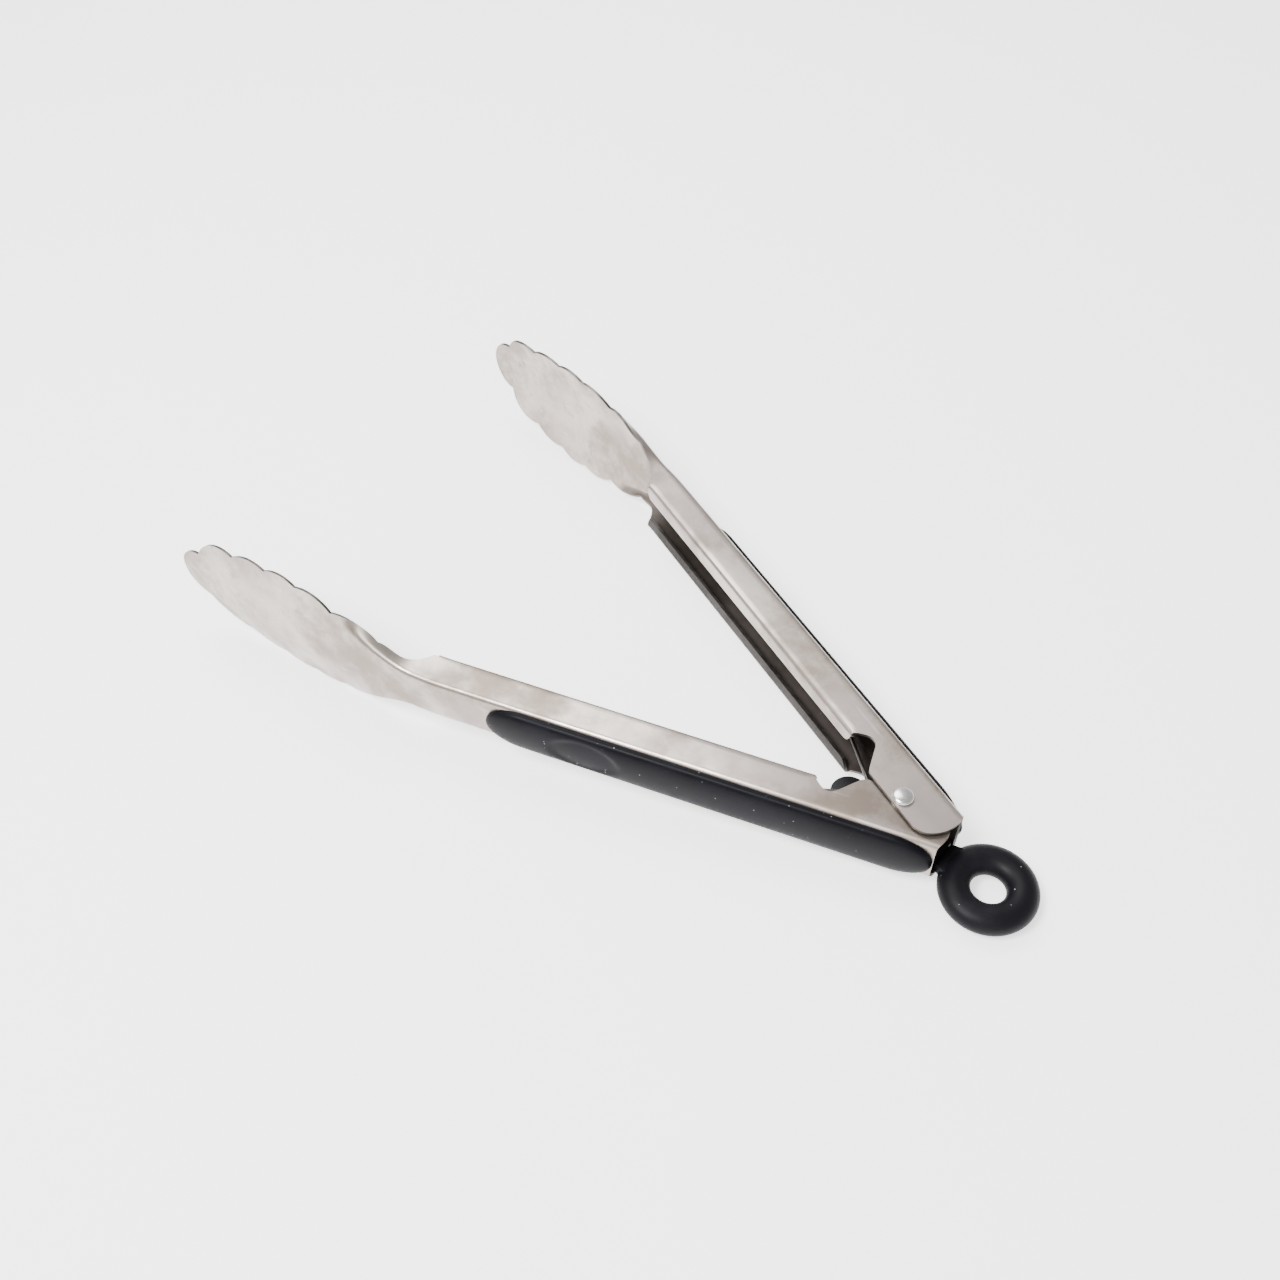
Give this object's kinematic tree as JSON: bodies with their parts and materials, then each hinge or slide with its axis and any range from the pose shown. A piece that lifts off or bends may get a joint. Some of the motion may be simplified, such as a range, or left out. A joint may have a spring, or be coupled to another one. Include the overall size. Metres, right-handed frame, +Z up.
{
  "type": "spring loaded kitchen tongs",
  "caption": "Stainless kitchen tongs with scalloped heads, soft grips, a sprung pivot and a sliding pull ring.",
  "frame": {"origin": "middle of the footprint on the table, with the tongs lying open on their side", "axes": "+Z up from the table, +X from the tips towards the pull ring, +Y towards the back arm; the arms' mid plane rises 3.0 degrees towards the tips because the wide heads and the rivet rest on the table"},
  "size_m": [0.2956, 0.1548, 0.0444],
  "materials": {
    "arm_steel": "satin",
    "bright_steel": "polished",
    "soft_black": "matte",
    "hard_black": "satin",
    "pale_nylon": "satin"
  },
  "bodies": {
    "front_half": {"front_arm": "arm_steel", "front_grip_core": "hard_black", "front_grip_skin": "soft_black", "front_grip_retainer_1": "bright_steel", "front_grip_retainer_2": "bright_steel", "front_grip_retainer_3": "bright_steel", "pivot_rivet": "bright_steel", "upper_friction_washer": "pale_nylon", "lower_friction_washer": "pale_nylon", "torsion_spring": "bright_steel"},
    "back_half": {"back_arm": "arm_steel", "back_grip_core": "hard_black", "back_grip_skin": "soft_black", "back_grip_retainer_1": "bright_steel", "back_grip_retainer_2": "bright_steel", "back_grip_retainer_3": "bright_steel"},
    "guide": {"guide_spool": "hard_black"},
    "slider": {"lock_slider": "hard_black", "pull_ring": "soft_black"}
  },
  "joints": [
    {"name": "arm_pivot", "type": "hinge", "parent": "front_half", "child": "back_half", "pos_m": [0.10027, 0, 0.01198], "axis": [0.0515, 0, 0.9987], "range_deg": [0, 33.8], "stiffness_Nm_per_rad": 0.6, "springref_deg": -28.65, "deforming": ["torsion_spring"]},
    {"name": "guide_turn", "type": "hinge", "parent": "front_half", "child": "guide", "pos_m": [0.10027, 0, 0.01198], "axis": [0.0515, 0, 0.9987], "range_deg": [0, 16.9]},
    {"name": "slider_pull", "type": "slide", "parent": "guide", "child": "slider", "axis": [0.9987, 0, -0.0515], "range_m": [0, 0.009]}
  ],
  "couplings": [
    {"joint": "guide_turn", "follows": "arm_pivot", "ratio": 0.5}
  ]
}
